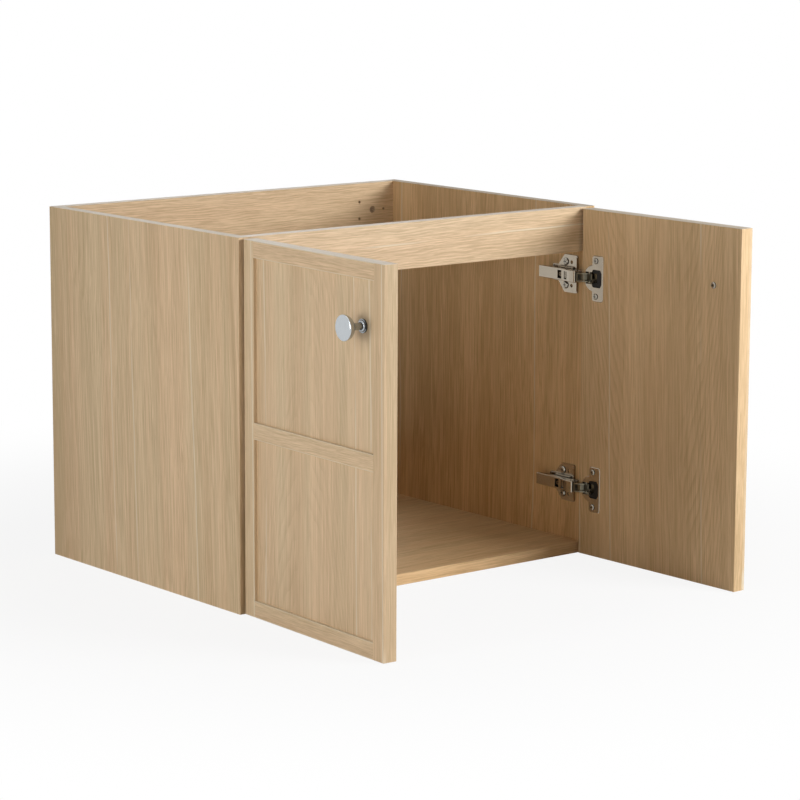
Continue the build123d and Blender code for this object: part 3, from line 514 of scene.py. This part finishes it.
# %% Doors
DOOR_TURN = {"left": math.radians(-92.5), "right": math.radians(-89.0)}
DOOR_LEAN = {"left": math.radians(-0.6), "right": math.radians(-1.8)}
DOOR_SEED = {"left": 1.9, "right": 6.3}
DOOR_TAPE = ((0.297, 0.006, -0.30),)
DOOR_FILM = {
    "left": {"contrast": 0.8, "tint": 0.45, "gloss": 0.35, "pale": (0.0410, 0.2330, 0.2630),
             "arches": {"middle": 0.125, "opening": -0.030, "spacing": 0.0010, "near": 0.0,
                        "far": 0.03, "end": 0.230, "depth": 0.20}},
    "right": {"contrast": 0.95, "tint": 0.1, "gloss": 0.12, "pale": (0.0040, 0.0640, 0.2380),
              # The right door's inside is tinted with painted warm light, for the light bounced inside
              # the cabinet.
              "painted_warmth": (1.02, 0.99, 0.93),
              "arches": {"middle": 0.150, "opening": 0.044, "spacing": 0.0015, "near": 0.03,
                         "far": 0.08, "end": 0.292, "depth": 0.40}},
}
STILES = ("hinge_stile", "free_stile")
STILE_GRAIN = {"contrast": 0.8, "gloss": 0.35}
STILE_SEED = 1.1
STRIPS = ("top_strip", "mid_strip", "bottom_strip")
STRIP_GRAIN = {"contrast": 0.8, "gloss": 0.35, "shorter": 3.0, "rings": 0.3, "spacing": 0.0036}
STRIP_SEED = 3.3


def hinged_corner(side):
    """Foot of the door's hinged corner: its board's box, at the back and towards the middle."""
    low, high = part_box(f"{side}_door_board")
    inward = high[0] if side == "left" else low[0]
    return (inward, high[1], 0.0)


def strip_rims(side, name, corner):
    """Places of the two long rims of a stile or strip.

    A stile's rims are distances from the hinged corner, which Y gives because the open
    doors stand nearly along Y. A strip's rims are heights.
    """
    low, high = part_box(f"{side}_{name}")
    if name in STILES:
        return {"rims": (corner[1] - high[1], corner[1] - low[1])}
    return {"ledges": (low[2], high[2])}


def dress_door(side):
    """Film on a door's board, its stiles and its strips, each with a seed of its own."""
    corner = hinged_corner(side)
    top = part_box(f"{side}_door_board")[1][2]
    upright = (0.0, DOOR_LEAN[side], DOOR_TURN[side])
    level = (0.0, LEVEL, DOOR_TURN[side])
    seed = DOOR_SEED[side]
    dress(oak(f"oak_{side}_door", corner, upright, seed, bands=DOOR_TAPE, top=top,
              **DOOR_FILM[side]), f"{side}_door_board")
    for number, name in enumerate(STILES):
        dress(oak(f"oak_{side}_{name}", corner, upright, seed + STILE_SEED + number, top=top,
                  **STILE_GRAIN, **strip_rims(side, name, corner)), f"{side}_{name}")
    for number, name in enumerate(STRIPS):
        dress(oak(f"oak_{side}_{name}", corner, level, seed + STRIP_SEED + number, top=top,
                  **STRIP_GRAIN, **strip_rims(side, name, corner)), f"{side}_{name}")
    print(side, "door corner", corner, "top", top)


dress_door("left")
dress_door("right")

# %% [markdown]
# ## Metal
#
# The hinges are pressed steel with a dull nickel plating, the screws are zinc plated, the
# adjusting screws are browned, and the knobs are polished. The links get a darker copy of
# the nickel, painted shade for the shadow they sit in. A plating is a metal colour with a
# little unevenness in its gloss and a faint ripple. Its corners are darkened with painted
# shade, and an Ambient Occlusion node finds those corners; on the knobs this painted
# darkening stands for dark reflections and shade on the back of the bowl and at the base.

# %% Metals
RIPPLE_GRAIN = 900.0
SOFT_GRAIN = 108.0
RIPPLE_STRENGTH = 0.05
RIPPLE_DEPTH = 0.0001
PATCH_SHADE = 0.86
PAINTED_CORNER_SHADE = 0.12
CORNER_SAMPLES = 8


def plating(name, colour, roughness, uneven=0.12, corner=0.0025, step=(0.3, 0.95)):
    """Plated metal whose corners darken to PAINTED_CORNER_SHADE of its colour, as painted shade.

    corner is how far the Ambient Occlusion node looks for other faces, and step is the
    open share at which the metal is darkest and the share at which it has its own colour.
    """
    material, tree, shader = new_material(name, Metallic=1.0)
    place = node(tree, "ShaderNodeTexCoord").outputs["Object"]
    soft = noise(tree, place, SOFT_GRAIN, detail=3.0)
    gloss = maths(tree, "MULTIPLY_ADD", soft, uneven, roughness - uneven / 2)
    tree.links.new(gloss, shader.inputs["Roughness"])
    shade = mixed(tree, maths(tree, "MULTIPLY", soft, 0.5), colour, shaded(colour, PATCH_SHADE))
    hollow = node(tree, "ShaderNodeAmbientOcclusion", {"Distance": corner}, samples=CORNER_SAMPLES)
    open_share = between(tree, hollow.outputs["AO"], *step)
    shade = mixed(tree, open_share, shaded(colour, PAINTED_CORNER_SHADE), shade)
    tree.links.new(shade, shader.inputs["Base Color"])
    ripple = noise(tree, place, RIPPLE_GRAIN)
    bump = node(tree, "ShaderNodeBump",
                {"Height": ripple, "Strength": RIPPLE_STRENGTH, "Distance": RIPPLE_DEPTH})
    tree.links.new(bump.outputs["Normal"], shader.inputs["Normal"])
    return material


NICKEL = plating("nickel_plate", (0.39, 0.34, 0.27), 0.22, uneven=0.08)
# Painted shade: the links get a darker copy of the nickel for the shadow they sit in.
SHADED_NICKEL = plating("shaded_plate", (0.18, 0.165, 0.12), 0.42)
ZINC = plating("zinc_plate", (0.34, 0.31, 0.26), 0.25, corner=0.004, step=(0.45, 1.0))
BROWNED = plating("browned_plate", (0.24, 0.19, 0.14), 0.25)
# On the knob the wide search and high step paint dark reflections and shade on the back of the bowl and
# at the base.
POLISHED = plating("polished_knob", (0.52, 0.55, 0.57), 0.08, uneven=0.04, corner=0.012,
                   step=(0.62, 1.0))
print("metals made")

# %% [markdown]
# ## Plastic and dowels
#
# The insert in each hinge cup is black moulded plastic, and the dowels that join the boards
# are beech. Both surfaces are fine grains in colour and height, coarser on the wood. Then
# every fitting gets its finish by the last word of its name.

# %% Plastic, dowels and fittings
SPECKLE_STRENGTH = 0.2


def speckled(name, colour, roughness, grain, depth, gloss):
    """Moulded or sawn surface: fine grains in colour and height."""
    material, tree, shader = new_material(name, Roughness=roughness, Specular_IOR_Level=gloss)
    place = node(tree, "ShaderNodeTexCoord").outputs["Object"]
    fine = noise(tree, place, grain, detail=3.0)
    tree.links.new(mixed(tree, fine, shaded(colour, 0.8), shaded(colour, 1.2)),
                   shader.inputs["Base Color"])
    bump = node(tree, "ShaderNodeBump",
                {"Height": fine, "Strength": SPECKLE_STRENGTH, "Distance": depth})
    tree.links.new(bump.outputs["Normal"], shader.inputs["Normal"])
    return material


BLACK = speckled("black_plastic", (0.011, 0.010, 0.009), 0.45, 1800.0, 0.00005, 0.2)
BEECH = speckled("beech_dowel", (0.62, 0.47, 0.30), 0.6, 700.0, 0.0001, 0.3)
FITTINGS = {
    "plate": NICKEL,
    "arm": NICKEL,
    "cup": NICKEL,
    "pins": NICKEL,
    "link": SHADED_NICKEL,
    "screw": ZINC,
    "screws": ZINC,
    "adjusters": BROWNED,
    "knob": POLISHED,
    "insert": BLACK,
    "dowels": BEECH,
}

for name in NODES:
    last_word = name.split("_")[-1]
    if last_word in FITTINGS:
        dress(FITTINGS[last_word], name)
bare = [name for name in NODES if not NODES[name].data.materials]
print("fittings dressed, nodes without a finish", bare)

# %% [markdown]
# ## Background
#
# The photograph is a cut-out on pure white. The world is white to the camera and in
# reflections, and nearly dark to every other ray, so the lamps alone light the object.

# %% World
WHITE = (1.0, 1.0, 1.0, 1.0)
AMBIENT = 0.01


def white_background(strength):
    """World that is white to camera, glossy and transmission rays and dim to all others."""
    world = bpy.data.worlds.new("studio")
    bpy.context.scene.world = world
    world.use_nodes = True
    tree = world.node_tree
    tree.nodes.clear()
    path = node(tree, "ShaderNodeLightPath")
    seen = maths(tree, "MAXIMUM", path.outputs["Is Camera Ray"], path.outputs["Is Glossy Ray"])
    seen = maths(tree, "MAXIMUM", seen, path.outputs["Is Transmission Ray"])
    room = node(tree, "ShaderNodeBackground", {"Color": WHITE, "Strength": strength})
    plain = node(tree, "ShaderNodeBackground", {"Color": WHITE, "Strength": 1.0})
    choice = node(tree, "ShaderNodeMixShader", {0: seen, 1: room.outputs[0], 2: plain.outputs[0]})
    node(tree, "ShaderNodeOutputWorld", {"Surface": choice.outputs[0]})
    return world


print("world", white_background(AMBIENT).name)

# %% [markdown]
# ## Floor
#
# The floor is a pale plane that camera rays see nearly white, so that only a trace of the
# object's shadow is left on it. The white share grows to 1 away from the object, where the
# floor runs into the background. To all other rays it is a plain pale surface, so it still
# throws light back on to the cabinet.

# %% Floor
FLOOR_SIZE = 12.0
FLOOR_COLOUR = (0.80, 0.80, 0.80, 1.0)
FLOOR_ROUGHNESS = 0.9
NEAR_WHITE = 0.88
FADE_START = 0.4
FADE_END = 1.1


def floor_material():
    """Pale surface, mixed with white for camera and glossy rays by the distance from the middle."""
    material, tree, shader = new_material("floor", Base_Color=FLOOR_COLOUR, Roughness=FLOOR_ROUGHNESS)
    path = node(tree, "ShaderNodeLightPath")
    seen = maths(tree, "MAXIMUM", path.outputs["Is Camera Ray"], path.outputs["Is Glossy Ray"])
    glow = node(tree, "ShaderNodeEmission", {"Color": WHITE, "Strength": 1.0})
    place = node(tree, "ShaderNodeTexCoord").outputs["Object"]
    away = node(tree, "ShaderNodeVectorMath", {0: place}, operation="LENGTH").outputs["Value"]
    white = node(tree, "ShaderNodeMapRange", {"Value": away, "From Min": FADE_START, "From Max": FADE_END,
                                              "To Min": NEAR_WHITE, "To Max": 1.0},
                 interpolation_type="SMOOTHSTEP").outputs["Result"]
    share = maths(tree, "MULTIPLY", seen, white)
    choice = node(tree, "ShaderNodeMixShader", {0: share, 1: shader.outputs[0], 2: glow.outputs[0]})
    tree.links.new(choice.outputs[0], tree.nodes["Material Output"].inputs["Surface"])
    return material


def add_floor():
    """One square face, with its corners at plus and minus half its size in x and y."""
    half = FLOOR_SIZE / 2
    corners = [(-half, -half, 0.0), (half, -half, 0.0), (half, half, 0.0), (-half, half, 0.0)]
    mesh = bpy.data.meshes.new("floor")
    mesh.from_pydata(corners, [], [(0, 1, 2, 3)])
    mesh.materials.append(floor_material())
    floor = bpy.data.objects.new("floor", mesh)
    bpy.context.scene.collection.objects.link(floor)
    return floor


print("floor", add_floor().name)

# %% [markdown]
# ## Lamps
#
# The main light comes from the front right, so the open right door shades the inside.
# Three weaker ones from the left light the side panel, the inside over its top, and the
# inside through the door opening. A faint one overhead and one behind keep the top edges
# and the back readable. All are flat lamps, which give soft shadows.

# %% Lamps
LAMPS = {
    "key": {"azimuth": 27.0, "height": 16.0, "distance": 2.6, "width": 1.15, "depth": 0.55,
            "power": 51.0},
    "side_fill": {"azimuth": -84.0, "height": 5.0, "distance": 2.6, "width": 0.7, "depth": 0.7,
                  "power": 16.5},
    "high_fill": {"azimuth": -78.0, "height": 24.0, "distance": 2.6, "width": 0.7, "depth": 0.7,
                  "power": 8.0},
    "low_fill": {"azimuth": -54.0, "height": 8.0, "distance": 2.6, "width": 0.7, "depth": 0.7,
                 "power": 5.5},
    "top": {"azimuth": 0.0, "height": 88.0, "distance": 2.4, "width": 1.6, "depth": 1.6, "power": 7.0},
    "back": {"azimuth": 150.0, "height": 30.0, "distance": 2.6, "width": 1.0, "depth": 1.0,
             "power": 6.0},
}
AIM = Vector((0.0, 0.0, 0.25))


def add_lamp(name, azimuth, height, distance, width, depth, power):
    """Flat lamp on a sphere about the object: azimuth from the front towards +X, height up."""
    turn, rise = math.radians(azimuth), math.radians(height)
    away = Vector((math.sin(turn) * math.cos(rise), -math.cos(turn) * math.cos(rise), math.sin(rise)))
    lamp = bpy.data.lights.new(name, "AREA")
    lamp.shape = "RECTANGLE"
    lamp.size = width
    lamp.size_y = depth
    lamp.energy = power
    body = bpy.data.objects.new(name, lamp)
    body.location = AIM + distance * away
    body.rotation_euler = away.to_track_quat("Z", "Y").to_euler()
    bpy.context.scene.collection.objects.link(body)


for name, settings in LAMPS.items():
    add_lamp(name, **settings)
bpy.context.scene.view_settings.view_transform = "Standard"
print("lamps", list(LAMPS))

# %% [markdown]
# ## Finish
#
# The visual model must fill the same box as the frame. The cell below only has a helper
# that gives a box as plain lists of numbers.

# %% Finish
def plain(box):
    """Box as plain lists of numbers."""
    return [[float(number) for number in corner] for corner in box]
